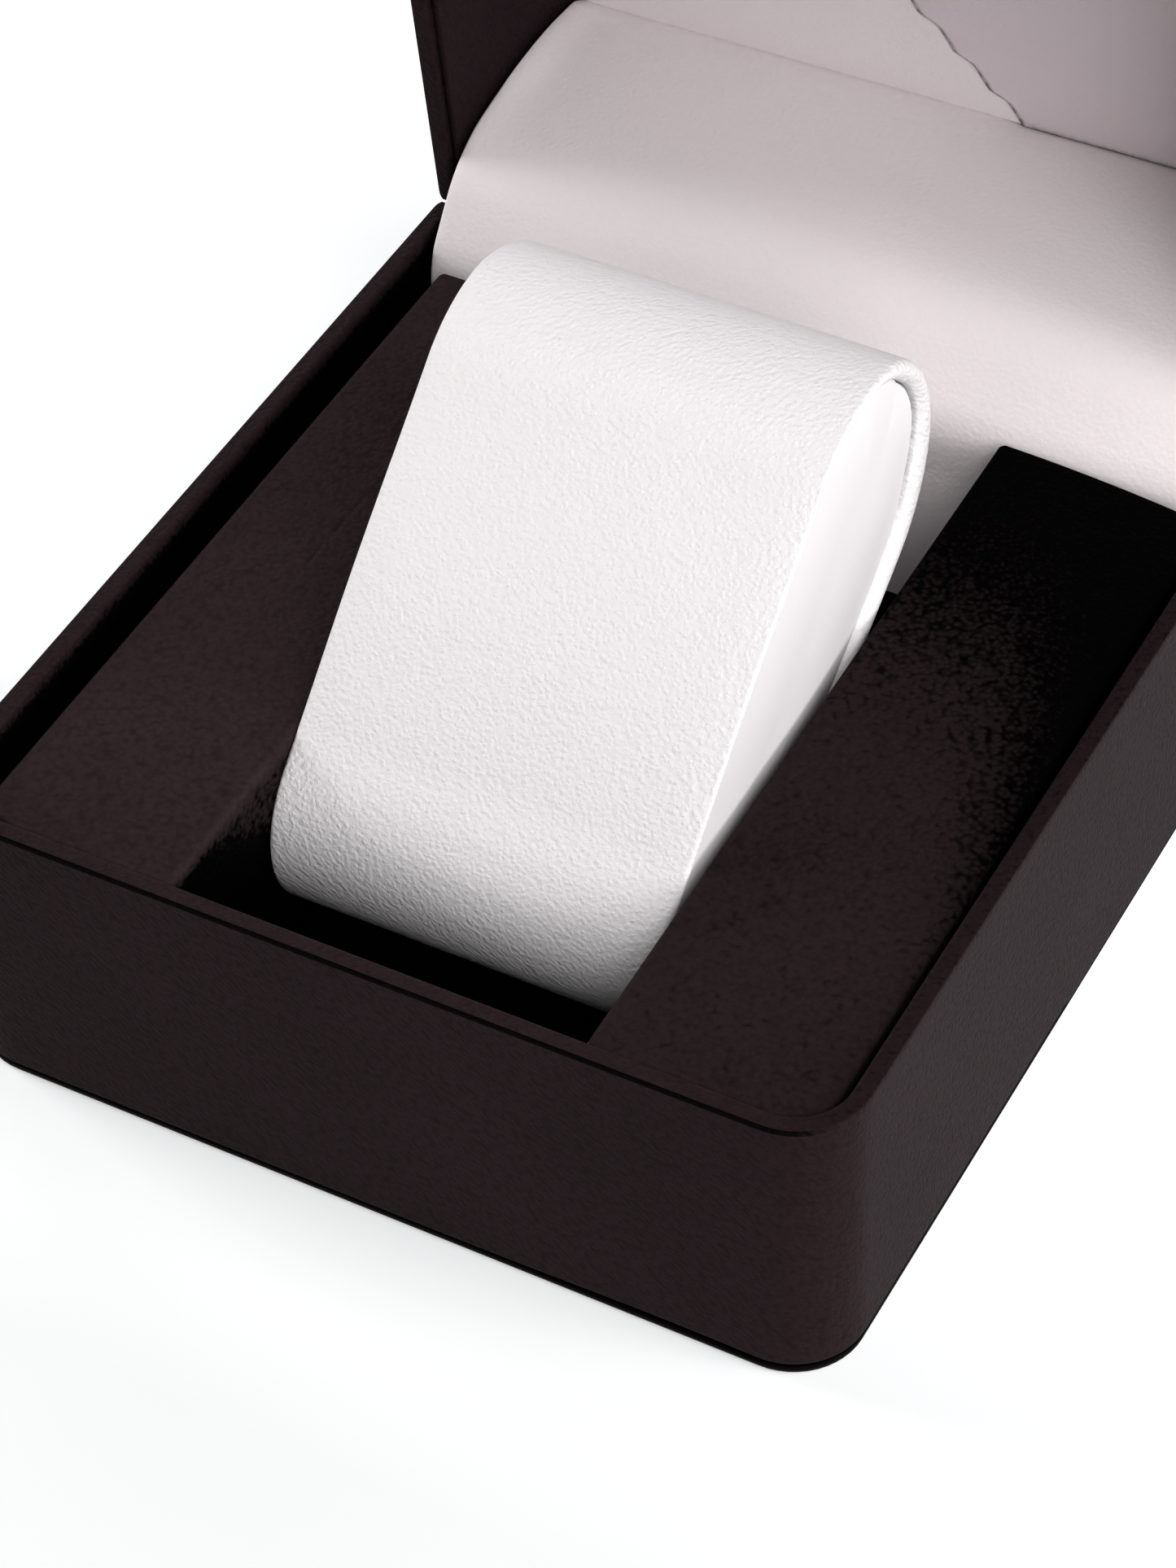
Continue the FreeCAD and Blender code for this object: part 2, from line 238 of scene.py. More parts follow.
def ramp(tree, value, low, high, to_low=0.0, to_high=1.0):
    """Carries a value straight from one range to another, and holds it at the ends."""
    inputs = {"Value": value, "From Min": low, "From Max": high, "To Min": to_low, "To Max": to_high}
    return add(tree, "MapRange", inputs).outputs["Result"]


def patches(tree, at, size, least=0.0, most=1.0, detail=3.0):
    """Soft-edged patches, about size millimetres across, of values from least to most."""
    return ramp(tree, noise(tree, at, size, detail), 0.35, 0.65, least, most)


def attribute(tree, name):
    """A mark that the mesh carries."""
    return add(tree, "Attribute", attribute_name=name).outputs["Fac"]


def math_node(tree, operation, first, second):
    """The sum, product or greater of two values."""
    return add(tree, "Math", {0: first, 1: second}, operation=operation).outputs[0]


def mixed(tree, share, first, second):
    """Colour between two by share."""
    pair = [part if isinstance(part, bpy.types.NodeSocket) else (*part, 1) for part in (first, second)]
    return add(tree, "Mix", {0: share, 6: pair[0], 7: pair[1]}, data_type="RGBA").outputs[2]


def shade(colour, factor):
    """A colour made lighter or darker."""
    return tuple(min(1.0, part * factor) for part in colour)


def surface(tree, tone, roughness, relief, depth, constants, strength=1.0):
    """Ends a material: relief is raised by depth millimetres, and constants are set on the shader."""
    bump = add(tree, "Bump", {"Height": relief, "Distance": depth * MM, "Strength": strength})
    shader = add(tree, "BsdfPrincipled", {
        "Base Color": tone, "Roughness": roughness, "Normal": bump.outputs[0], **constants})
    add(tree, "OutputMaterial", {"Surface": shader.outputs[0]})


def dark_paper():
    """Board paper, painted near black as painted shade, embossed with a fine irregular grain and worn paler
    along its edge.
    """
    made, tree, at = new_material("dark_grained_paper")
    # Near black: painted shade for the shadow under the skin's overhang.
    colour = (0.0012, 0.0008, 0.0008)
    tone = mixed(tree, patches(tree, at, 6.0), shade(colour, 0.75), shade(colour, 1.3))
    worn = math_node(tree, "MULTIPLY", attribute(tree, "wear"), 0.7)
    tone = mixed(tree, worn, tone, shade(colour, 20.0))
    grain = noise(tree, at, 0.35, 4.0)
    gloss = ramp(tree, grain, 0.3, 0.7, 0.5, 0.68)
    surface(tree, tone, gloss, grain, 0.05, {"Specular IOR Level": 0.02}, strength=0.8)
    return made


def flock(name, colour, sheen=0.2):
    """Short upright fibre: speckled finely, brushed paler in patches, with a soft sheen."""
    made, tree, at = new_material(name)
    fibre = noise(tree, at, 0.12, 2.0)
    tone = mixed(tree, ramp(tree, fibre, 0.35, 0.65), shade(colour, 0.55), shade(colour, 1.5))
    tone = mixed(tree, patches(tree, at, 9.0, 0.0, 0.35, 2.0), tone, shade(colour, 1.6))
    surface(tree, tone, 0.95, fibre, 0.12, {
        "Specular IOR Level": 0.02, "Sheen Weight": sheen, "Sheen Roughness": 0.5})
    return made


def finish_nodes(material, *names):
    """Gives CAD nodes that stay as they are their finish."""
    for name in names:
        finishes = frame["nodes"][name].data.materials
        finishes.clear()
        finishes.append(material)


def fit(piece, body, slot, material, *nodes):
    """Finishes a new piece and sets it on its body, in place of CAD nodes."""
    piece.data.materials.append(material)
    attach(piece, body)
    if nodes:
        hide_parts(*nodes)


front_corner, back_corner = 8.5, 2.6
box_low, box_high = place("base_skin")
box_size = (box_high[0], box_high[1], front_corner, front_corner, back_corner)
lip_low, lip_high = place("bottom_board")
lip_edge = box_high[0] - lip_high[0]
lip_rounding = 0.25
lip_inner = 40                  # inset of the last ring, which a fan closes
lip_path = profile([(lip_inner, lip_low[2], 0), (lip_edge, lip_low[2], lip_rounding),
                    (lip_edge, lip_high[2], lip_rounding), (lip_inner, lip_high[2], 0)], (6, 1, 6))
lip_wear = (lip_path[:, 1] < lip_low[2] + 0.3) & (lip_path[:, 0] < lip_edge + 0.3)
lip = swept(box_size, lip_path)
lip_piece = shell("bottom_board_covered", lip, marks={"wear": np.repeat(lip_wear, lip.shape[1])})
paper_finish = dark_paper()
fit(lip_piece, "base", "dark_paperboard", paper_finish, "bottom_board")
finish_nodes(paper_finish, "filler_board")
finish_nodes(flock("dark_flock", (0.020, 0.016, 0.016)), "bottom_sheet")

# --- base tray ------------------------------------------------------------------------------------
# A folded greyboard tray, covered with one skin of dark fine-grained leatherette. The skin is glued down,
# turned in under the floor and over the rim, with a pressed seam along the front's outer arris.
hinge_y, hinge_z = np.array(frame["joints"][0]["pos_m"])[1:] / MM
rim = box_high[2]
wall = 2.2                      # through the tray's wall and its skin
tray_floor = 1.8                # thickness of the tray's floor, with the skin turned in under it
skin_thickness = 0.4
skin_end = 2.6                  # inset of the skin's inner edge, which lies on the tray's floor
turned_in = 8.0                 # inset of its outer edge, under the floor
seam_depth = 0.36
seam_down = 0.38                # the seam's middle, below the rim
skin_swell = 0.06
skin_sprung = 0.45              # the skin's foot stands off the lip near the front right corner
notch_clearance = 0.15
leaf_low, leaf_high = place("hinge_base_leaf_right")
hinge_middle = (leaf_low[0] + leaf_high[0]) / 2
notch_half = (leaf_high[0] - leaf_low[0]) / 2 + notch_clearance
notch_floor = 2 * hinge_z - leaf_high[2] - notch_clearance
notch_edges = [side * hinge_middle + way * notch_half + gap     # a point on each side of each edge
               for side in (-1, 1) for way in (-1, 1) for gap in (-0.02, 0.02)]


def waves(u, v, seed, length=17):
    """Slow swells between about -1 and 1: the mean of five sines of unlike lengths and directions."""
    total = 0
    for k in range(5):
        angle = 1.7 * k + seed
        along = u * math.cos(angle) + v * math.sin(angle)
        total = total + np.sin(along * 2 * math.pi / (length * (1 + 0.55 * k)) + 2.1 * k * seed)
    return total / 5


def distances(points):
    """How far along a line each of its points lies: the running sum of the steps before it."""
    return np.append(0, np.cumsum(np.linalg.norm(np.diff(points, axis=0), axis=1)))


def lowered(stack, depth=0.0):
    """Brings points down to the bevel behind the hinge line, which falls a millimetre for each millimetre
    back, and to the floors of the knuckles' notches. Hidden faces lie a depth below the shown ones."""
    x, y = stack[..., 0], stack[..., 1]
    in_notch = (np.abs(np.abs(x) - hinge_middle) < notch_half) & (y > hinge_y - 3)
    bevel = rim - (y - hinge_y) - depth * math.sqrt(2)
    limit = np.minimum(bevel, np.where(in_notch, notch_floor - depth, rim))
    stack[..., 2] = np.minimum(stack[..., 2], limit)
    return stack


def covered_tray(low, underside, sprung=0.0):
    """Shown and glued faces of a tray's skin, as two stacks, and the shown one's marks. The shown one starts
    in the middle of the tray's floor and goes over the rim to the underside, given as profile corners and
    steps. The seam is deepest along the front and dies out round its corners. Near the front right corner
    the foot is lifted by sprung times exp(-((x - 36) / 16)^2)."""
    floor = low + tray_floor
    ends, end_steps = underside
    inner = [(skin_end, floor + 0.1, 0), (wall, floor + 0.1, 0.1), (wall, rim, 0.5)]
    stacks = []
    for seam in (seam_depth, 0.04):
        outer = [(0.1, rim, 0.16), (seam, rim - 0.3, 0.05), (0, rim - 0.6, 0.14), (0, rim - 0.9, 0),
                 (0, low, 0.45)]
        path = profile(inner + outer + ends, (1, 22, 4, 1, 1, 1, 26) + end_steps)
        stacks.append(swept(box_size, path, notch_edges))
    pressed, plain = stacks
    inset, up = path[:, 0], path[:, 1]
    foot = plain[-1]
    inward = outline(box_size, 1, notch_edges) - outline(box_size, 0, notch_edges)
    inward /= np.linalg.norm(inward, axis=1, keepdims=True)
    front_share = np.clip(inward[:, 1], 0, 1) ** 6
    right_share = np.clip(-inward[:, 0], 0, 1)
    shown = plain + (pressed - plain) * front_share[None, :, None]
    on_wall = np.clip((rim - 1 - up) / 4, 0, 1) * np.clip((up - low - 0.8) / 4, 0, 1)
    swell = skin_swell * waves(distances(foot)[None, :], up[:, None], 1.3) * on_wall[:, None]
    shown[..., :2] += swell[..., None] * inward[None]
    loose = np.exp(-((foot[:, 0] - 36) / 16) ** 2) * (foot[:, 1] < 0)
    at_foot = np.clip((low + 0.9 - up) / 0.5, 0, 1) * (inset < 1.2)
    shown[..., 2] += sprung * at_foot[:, None] * loose[None]
    inner_arris = (np.abs(inset - wall + 0.1) < 0.3) & (up > rim - 0.3)
    lower_arris = (up < low + 0.3) & (inset < 1)
    on_rim = (up > rim - 0.1) & (inset < wall - 0.1)
    in_seam = (np.abs(up - rim + seam_down) < 0.31) & (inset < 1)
    # Painted shade: the inner walls darken from just under the rim down towards the floor.
    inside = np.clip((rim - 0.5 - up) / 1.8, 0, 1) * (inset > 1.5) * (up > low + 0.5)
    wear = 0.9 * (inner_arris | lower_arris)[:, None] + 0.6 * on_rim[:, None] * front_share[None]
    # The seam darkens in dashes, and painted shade blackens its groove.
    seam_and_painted_shade = 1.4 * in_seam[:, None] * front_share[None]
    # The painted shade: the inner walls, and a little on the rim along the right side.
    darker = inside[:, None] + 0.2 * on_rim[:, None] * right_share[None]
    marks = {"wear": wear, "seam": seam_and_painted_shade, "painted_shade": np.maximum(darker, seam_and_painted_shade)}
    glued_low, glued_rim, glued_wall = low + skin_thickness, rim - skin_thickness, wall - skin_thickness
    glued = profile([(turned_in, glued_low, 0), (skin_thickness, glued_low, 0),
                     (skin_thickness, glued_rim, 0), (glued_wall, glued_rim, 0), (glued_wall, floor, 0),
                     (skin_end, floor, 0)], (3, 6, 1, 6, 1))
    return lowered(shown), lowered(swept(box_size, glued, notch_edges), skin_thickness), marks


def leatherette(name, colour, pebble, depth, specular, mottle, gloss=(0.5, 0.62), lie=(0, 0, 0), drawn=1.0,
                ior=1.5, glint=(1, 1, 1)):
    """Embossed polyurethane skin. Pebbles are the cells of a Voronoi pattern warped by noise, with finer
    pores over them, and slow noise shifts the tone by mottle. The sheet was rolled along the direction lie,
    which draws its grain out by the factor drawn. Three marks change the tone: wear rubs arrises paler,
    seam darkens in dashes and also carries painted shade in grooves, slits, creases and along lapped
    edges, and painted_shade, from nought to one, is painted shade that darkens evenly and then blackens the
    grain, its valleys first."""
    made, tree, at = new_material(name)
    rolled = {"Vector": at, "Rotation": lie, "Scale": (drawn, 1, 1)}
    rolled = add(tree, "Mapping", rolled, vector_type="TEXTURE").outputs[0]
    warp = add(tree, "TexNoise", {"Vector": rolled, "Scale": 1 / (pebble * 1.5 * MM), "Detail": 2.0})
    shift = add(tree, "VectorMath", {0: warp.outputs["Color"], "Scale": pebble * 0.8 * MM}, operation="SCALE")
    moved = add(tree, "VectorMath", {0: rolled, 1: shift.outputs[0]}, operation="ADD").outputs[0]
    cells = add(tree, "TexVoronoi", {"Vector": moved, "Scale": 1 / (pebble * MM)}, feature="SMOOTH_F1")
    pebbles = ramp(tree, cells.outputs["Distance"], 0.0, 0.75, 1.0, 0.0)
    pores = noise(tree, rolled, pebble * 0.3)
    fleck = ramp(tree, noise(tree, rolled, pebble * 1.3), 0.3, 0.7)
    slow = patches(tree, at, 22.0, detail=5.0)
    tone = mixed(tree, slow, shade(colour, 1 - 0.08 * mottle), shade(colour, 1 + 0.08 * mottle))
    tone = mixed(tree, math_node(tree, "MULTIPLY", fleck, 0.4 * mottle), tone, shade(colour, 1.35))
    tone = mixed(tree, ramp(tree, pebbles, 0.0, 0.55, 0.35 * mottle, 0.0), tone, shade(colour, 0.6))
    rubbed = math_node(tree, "MULTIPLY", attribute(tree, "wear"), patches(tree, at, 3.0, 0.1, 0.5))
    tone = mixed(tree, rubbed, tone, shade(colour, 1.8))
    # Seam marks: a seam's own dark dashes, and on other pieces painted shade in slits, creases and laps.
    dashes = ramp(tree, noise(tree, at, 1.1, 1.0), 0.4, 0.55, 0.6, 1.0)
    creased = math_node(tree, "MULTIPLY", attribute(tree, "seam"), dashes)
    tone = mixed(tree, creased, tone, shade(colour, 0.12))
    # Painted shade that the mesh carries: the tone darkens evenly, then the grain blackens.
    painted_shade = attribute(tree, "painted_shade")
    tone = mixed(tree, ramp(tree, painted_shade, 0.0, 0.7, 0.0, 0.8), tone, shade(colour, 0.25))
    blackened = math_node(tree, "ADD", painted_shade, ramp(tree, pebbles, 0.0, 1.0, 0.34, -0.34))
    tone = mixed(tree, ramp(tree, blackened, 0.35, 0.75), tone, shade(colour, 0.03))
    height = math_node(tree, "ADD", pebbles, math_node(tree, "MULTIPLY", pores, 0.7))
    surface(tree, tone, ramp(tree, fleck, 0.0, 1.0, *gloss), height, depth, {
        "Specular IOR Level": specular, "IOR": ior, "Specular Tint": (*glint, 1)})
    return made


def greyboard():
    """Raw recycled board: grey-buff, mottled, flecked with darker fibres."""
    made, tree, at = new_material("raw_greyboard")
    colour = (0.33, 0.30, 0.26)
    tone = mixed(tree, patches(tree, at, 4.0), shade(colour, 0.85), shade(colour, 1.1))
    fibre = noise(tree, at, 0.3, 4.0, 1.5)
    tone = mixed(tree, ramp(tree, fibre, 0.5, 0.75), tone, shade(colour, 0.55))
    surface(tree, tone, 0.9, fibre, 0.06, {"Specular IOR Level": 0.15})
    return made


rolling = (0, 0.756, 0.337)     # the grain of the covering runs down to the right and back
box_leatherette = leatherette("dark_leatherette", (0.0138, 0.0078, 0.0090), 0.42, 0.12, specular=0.5,
                              mottle=2.4, lie=rolling, drawn=2.1, ior=1.09, glint=(1, 0.87, 0.9))
board_finish = greyboard()
shown, glued, marks = covered_tray(box_low[2], ([(turned_in, box_low[2], 0)], (4,)), skin_sprung)
base_skin = shell("base_leatherette", np.concatenate([shown, glued]), marks=marks)
fit(base_skin, "base", "dark_leatherette", box_leatherette, "base_skin")
finish_nodes(board_finish, "base_board")

# --- blocks ---------------------------------------------------------------------------------------
# Two long card blocks stand beside the well, each folded from board and wrapped in dark leatherette over
# a breath of padding, so its top is very slightly crowned and its arrises are round. The right one is a
# little wider and stands askew, and its back arris is bowed. The left block's copy of the leatherette is
# painted lighter, as painted light, and the right one's a little darker, as painted shade. Both carry
# painted shade on the side that faces the well, and the right one is painted darker towards the back.
block_radius = 0.9
block_corner = 5.2              # outer front corner, which nests in the tray's
block_skin = 0.5
block_crown = 0.22
block_swell = 0.07
block_splay = 0.8               # from front to back
block_bow_middle = 36.7         # place across about which the back arris is bowed
block_colour = (0.0188, 0.0121, 0.0130)
# Each block gets its own copy: painted light makes the left a fifth lighter, painted shade the right darker.
for side, painted_light_level in (("left", 1.2), ("right", 0.98)):
    block_leatherette = leatherette("block_leatherette_" + side, shade(block_colour, painted_light_level), 0.62, 0.14,
                                    specular=0.2, mottle=2.0, ior=1.07)
    low, high = place("block_skin_" + side)
    half_x, half_y = (high - low)[:2] / 2
    reach = half_x - 0.1
    under = high[2] - block_skin
    path = profile([(reach, under, 0), (block_skin, under, 0), (block_skin, low[2], 0), (0, low[2], 0),
                    (0, high[2], block_radius), (reach, high[2], 0)], (4, 1, 1, 20, 16))
    on_top = path[:, 1] > high[2] - 0.001
    on_arris = (np.abs(path[:, 0] - 0.3) < 0.3) & (path[:, 1] > high[2] - 0.6)
    path[:, 1] += on_top * block_crown * np.sin(np.clip(path[:, 0] / reach, 0, 1) * np.pi / 2)
    radii = (block_corner, block_radius) if side == "left" else (block_radius, block_corner)
    stack = swept((half_x, half_y, *radii, block_radius), path)
    stack[..., :2] += ((low + high) / 2)[:2]
    x, y = stack[..., 0].copy(), stack[..., 1].copy()
    stack[..., 2] += block_swell * waves(x, y, 0.7) * on_top[:, None]
    # Painted shade on the side that faces the well, dark below a line that falls to the back, lighter above.
    z = stack[..., 2]
    well_side = np.abs(x) < min(abs(low[0]), abs(high[0])) + 0.6
    painted_shade_below = np.minimum(37.6, 36 - 0.65 * (y + 46.5))
    painted_shade = np.clip(0.5 + (painted_shade_below - z) / 4, 0.42, 1) * well_side * (z < high[2] - block_radius)
    if side == "right":
        # Painted shade darkens this block a little all over, and more towards the back from a line that
        # bends forward on the right.
        painted_shade_behind = 17 - 22 * np.clip((x - 24) / 24.5, 0, None) ** 4
        painted_shade = np.maximum(painted_shade, np.clip(0.5 + (y - painted_shade_behind) / 55, 0.1, 1))
        to_left = (high[0] - x) / (high[0] - low[0])
        to_front = (high[1] - y) / (high[1] - low[1])
        bowed = x - block_bow_middle
        back_line = 0.65 - 0.085 * bowed - 0.0025 * bowed**2
        stack[..., 0] += block_splay * to_left * (to_front - 0.5)
        stack[..., 1] += back_line * np.clip(1 - to_front * 5, 0, 1)
    block = shell("block_leatherette_" + side, stack,
                  marks={"wear": 0.7 * np.repeat(on_arris, stack.shape[1]), "painted_shade": painted_shade})
    fit(block, "base", "dark_leatherette", block_leatherette, "block_skin_" + side)
    finish_nodes(board_finish, "block_board_" + side)

# --- well pad -------------------------------------------------------------------------------------
# A soft foam slab covered with flock lies between the blocks and carries the pillow. The flock's
# near-black colour is painted shade for the well's shadow.
pad_low, pad_high = place("well_pad")
pad_half = (pad_high - pad_low) / 2
pad_corner = 2.5
pad_reach = pad_half[0] - 0.5
path = profile([(pad_reach, pad_low[2], 0), (0, pad_low[2], 0.8), (0.1, pad_high[2], 2.2),
                (pad_reach, pad_high[2], 0)], (6, 5, 14))
stack = swept((pad_half[0], pad_half[1], pad_corner, pad_corner, pad_corner), path)
stack[..., :2] += ((pad_low + pad_high) / 2)[:2]
well_pad = shell("well_pad_flocked", stack)
# Near-black flock: painted shade for the well's shadow.
fit(well_pad, "base", "foam", flock("well_flock", (0.0005, 0.0004, 0.0004), 0.0), "well_pad")

# --- hinges ---------------------------------------------------------------------------------------
# Two pressed snap hinges are riveted inside the back walls; their knuckles turn on steel pins in
# notches of the two rims, and a flat spring on each base leaf snaps the lid open and shut.


def plated_steel(name, colour, roughness):
    """Plated strip: fine drawn lines along the hinge, faint handling marks and softly varied gloss."""
    made, tree, at = new_material(name)
    drawn = add(tree, "Mapping", {"Vector": at, "Scale": (0.03, 1.0, 1.0)}).outputs[0]
    lines = noise(tree, drawn, 0.1)
    handled = ramp(tree, noise(tree, at, 2.5, 4.0), 0.45, 0.7)
    tone = mixed(tree, handled, colour, shade(colour, 0.8))
    gloss = math_node(tree, "ADD", ramp(tree, lines, 0.3, 0.7, roughness - 0.06, roughness + 0.08),
                      math_node(tree, "MULTIPLY", handled, 0.08))
    surface(tree, tone, gloss, lines, 0.01, {"Metallic": 1.0}, strength=0.6)
    return made


nickel = plated_steel("nickel_plate", (0.62, 0.60, 0.57), 0.3)
spring_steel = plated_steel("spring_steel", (0.45, 0.45, 0.46), 0.24)
finish_nodes(nickel, "base_rivets", "lid_rivets")
for side in ("left", "right"):
    finish_nodes(nickel, "hinge_base_leaf_" + side, "hinge_lid_leaf_" + side)
    finish_nodes(spring_steel, "hinge_pin_" + side, "snap_spring_" + side)

# --- lid ------------------------------------------------------------------------------------------
# The lid is a second covered tray, the base's mirror image over the hinge line. It is worked out closed
# and turned back to its open stop. A strip of the same leatherette is bent round inside its walls.
open_angle = math.radians(frame["joints"][0]["range_deg"][1])
top_swell = 0.04


def turned(points, angle):
    """Points turned about the hinge line: y' = y cos - z sin and z' = y sin + z cos, from the line."""
    y, z = points[..., 1] - hinge_y, points[..., 2] - hinge_z
    sine, cosine = math.sin(angle), math.cos(angle)
    return np.stack([points[..., 0], hinge_y + y * cosine - z * sine, hinge_z + y * sine + z * cosine], -1)


def closed_place(node):
    """A lid node's lowest and highest corner with the lid shut, in millimetres."""
    corners = np.zeros(len(frame["nodes"][node].data.vertices) * 3)
    frame["nodes"][node].data.vertices.foreach_get("co", corners)
    shut = turned(corners.reshape(-1, 3) / MM, open_angle)
    return shut.min(0), shut.max(0)


def on_lid(stack):
    """Mirrors a stack from the base's place over the hinge line and opens it."""
    mirrored = stack * np.array([1, 1, -1]) + np.array([0, 0, 2 * hinge_z])
    return turned(mirrored, -open_angle)


lid_top = 2 * hinge_z - closed_place("lid_skin")[1][2]      # mirrored down to the base's side
shown, glued, marks = covered_tray(lid_top, ([(box_high[0] - 0.5, lid_top, 0)], (30,)))
across_top = shown[..., 2] < lid_top + 0.001
shown[..., 2] -= across_top * top_swell * (1 + waves(shown[..., 0], shown[..., 1], 2.2))
lid_skin = shell("lid_leatherette", on_lid(shown), on_lid(glued), marks=marks)
fit(lid_skin, "lid", "dark_leatherette", box_leatherette, "lid_skin")

strip_low, strip_high = closed_place("lid_wall_lining")
strip_edge, strip_floor = 2 * hinge_z - strip_low[2], 2 * hinge_z - strip_high[2]
strip_inner = wall + 0.8
strip_rounding = 0.3
section = profile([(wall, strip_edge - 2, 0), (wall, strip_edge, strip_rounding),
                   (strip_inner, strip_edge, strip_rounding), (strip_inner, strip_floor, 0),
                   (wall, strip_floor, 0), (wall, strip_edge - 2.2, 0)], (1, 1, 16, 1, 12))
whole = outline(box_size, 0)
kept = whole[:, 1] < strip_high[1]
start = np.flatnonzero(kept & ~np.roll(kept, 1))[0]
order = (start + np.arange(kept.sum())) % len(whole)
strip = np.stack([outline(box_size, inset)[order] for inset in section[:, 0]], 1)
heights = np.broadcast_to(section[None, :, 1:], strip.shape[:2] + (1,))
lid_strip = shell("lid_wall_leatherette", on_lid(np.concatenate([strip, heights], 2)))
fit(lid_strip, "lid", "dark_leatherette", box_leatherette, "lid_wall_lining")
finish_nodes(board_finish, "lid_board", "lid_pad_board")

# --- lid pad --------------------------------------------------------------------------------------
# A padded panel fills the lid. It is covered with pale leatherette in two pieces: the one on the right
# laps the other along a puckered edge that climbs to the left. The pillow has pressed a shallow hollow.
panel_low, panel_high = closed_place("lid_pad")
panel_half = panel_high[0]
panel_length = panel_high[1] - panel_low[1]
panel_up = hinge_y - panel_high[1]      # its lower edge, up from the hinge line
panel_grid = 0.5
panel_roll = 1.2                # radius of the panel's rolled edges
fold_roll = 0.42                # where its lower edge meets the lining
lap_fold_roll = 0.57            # and the same under the lap
panel_swell = 0.25
coarse_points = 53              # along each side of the cloth that is blown up
press_depth = 0.8               # hollow that the pillow's crown leaves
press_in = 17.0                 # the crown's middle, in from the pillow's back
press_up = hinge_y - place("pillow_wrap")[1][1] + press_in
seam_start = np.array([8.65, 7.4])      # across, and up from the hinge line
seam_along = np.array([-0.69, 0.72])
seam_step = 6.46                # length of one pucker
seam_sway = 1.05
seam_rise = 0.6                 # share of a pucker that swings out; the rest swings back
lap_thickness = 0.3
lap_grid = 0.34


def grid_faces(rows, columns):
    """Quads over a grid of points."""
    i, j = np.meshgrid(np.arange(rows - 1), np.arange(columns - 1), indexing="ij")
    first = (i * columns + j).ravel()
    return np.stack([first, first + columns, first + columns + 1, first + 1], 1)


def swollen(points, most):
    """How far cloth over the padding stands off, for a grid of points in millimetres: cloth on the grid,
    held along its four edges, is blown up by pressure without gravity, and its travel, measured along the
    grid's normal, is scaled so that the greatest is most."""
    rows, columns = points.shape[:2]
    held = np.ones((rows, columns), bool)
    held[1:-1, 1:-1] = False
    mesh = bpy.data.meshes.new("cloth")
    mesh.from_pydata((points.reshape(-1, 3) * MM).tolist(), [], grid_faces(rows, columns).tolist())
    cloth = put("cloth", mesh)
    cloth.vertex_groups.new(name="held").add(np.flatnonzero(held).tolist(), 1.0, "REPLACE")
    settings = cloth.modifiers.new("Cloth", "CLOTH").settings
    settings.vertex_group_mass = "held"
    settings.use_pressure = True
    settings.uniform_pressure_force = 4.0
    settings.effector_weights.gravity = 0.0
    settings.quality = 6
    for step in range(1, 21):
        bpy.context.scene.frame_set(step)
    blown = cloth.evaluated_get(bpy.context.evaluated_depsgraph_get())
    after = np.zeros(rows * columns * 3, np.float32)
    blown.data.vertices.foreach_get("co", after)
    travel = after.reshape(rows, columns, 3) / MM - points
    normal = np.cross(np.gradient(points, axis=0), np.gradient(points, axis=1))
    normal /= np.linalg.norm(normal, axis=2, keepdims=True)
    bpy.data.objects.remove(cloth)
    bpy.context.scene.frame_set(1)
    travel = np.abs((travel * normal).sum(2))
    return most * travel / max(travel.max(), 1e-6)


def between(field, down, over):
    """A field read between its grid's points: the four round a place are weighed by how near it each is.
    Places run from 0 to 1 down and over the field."""
    rows, columns = field.shape
    down, over = np.clip(down, 0, 1) * (rows - 1), np.clip(over, 0, 1) * (columns - 1)
    i, j = np.minimum(down.astype(int), rows - 2), np.minimum(over.astype(int), columns - 2)
    lower, further = down - i, over - j
    before = field[i, j] * (1 - lower) + field[i + 1, j] * lower
    behind = field[i, j + 1] * (1 - lower) + field[i + 1, j + 1] * lower
    return before * (1 - further) + behind * further


def edge_spans(reach, roll, grid):
    """Places from 0 to reach, close together where the edges roll: e = r (1 - cos a)."""
    rolled = roll * (1 - np.cos(np.linspace(0, np.pi / 2, 7)[:-1]))
    inner = np.linspace(roll, reach - roll, round((reach - 2 * roll) / grid) + 1)
    return np.concatenate([rolled, inner, reach - rolled[::-1]])


def rolled_fall(edge, radius):
    """Fall of a rolled edge: r - sqrt(r^2 - (r - e)^2) at the distance e from it, nought beyond r."""
    inside = np.clip(radius - edge, 0, radius)
    return radius - np.sqrt(np.maximum(radius**2 - inside**2, 0))


def panel_height(across, up):
    """How proud the panel stands of the CAD face: the cloth's swell and slow waves, less the pillow's
    hollow exp(-(v / 9)^4) exp(-(u / 27)^6) and the rolled edges' fall. up is from its lower edge."""
    from_sides = panel_half - np.abs(across)
    swell = between(panel_swell_field, (across / panel_half + 1) / 2, up / panel_length)
    hollow = np.exp(-((up + panel_up - press_up) / 9) ** 4) * np.exp(-(across / 27) ** 6)
    ease = np.clip(np.minimum(np.minimum(from_sides, up), panel_length - up) / 4, 0, 1)
    wave = 0.08 * waves(across, up, 0.4, 14) * ease
    lower_roll = fold_roll + (lap_fold_roll - fold_roll) * np.clip((across - seam_start[0]) / 3, 0, 1)
    fall = np.maximum(rolled_fall(from_sides, panel_roll), rolled_fall(panel_length - up, panel_roll))
    fall = np.maximum(fall, rolled_fall(up, lower_roll))
    return swell + wave - press_depth * hollow - fall


def on_panel(across, up, height):
    """Places on the panel in the open lid. Its lower edge falls to the left, eased out 30 mm up."""
    slant = (0.018 * across - 0.25) * np.clip(1 - up / 30, 0, 1)
    shut = np.stack([across, panel_high[1] - up - slant, panel_low[2] - height], -1)
    return turned(shut, -open_angle)


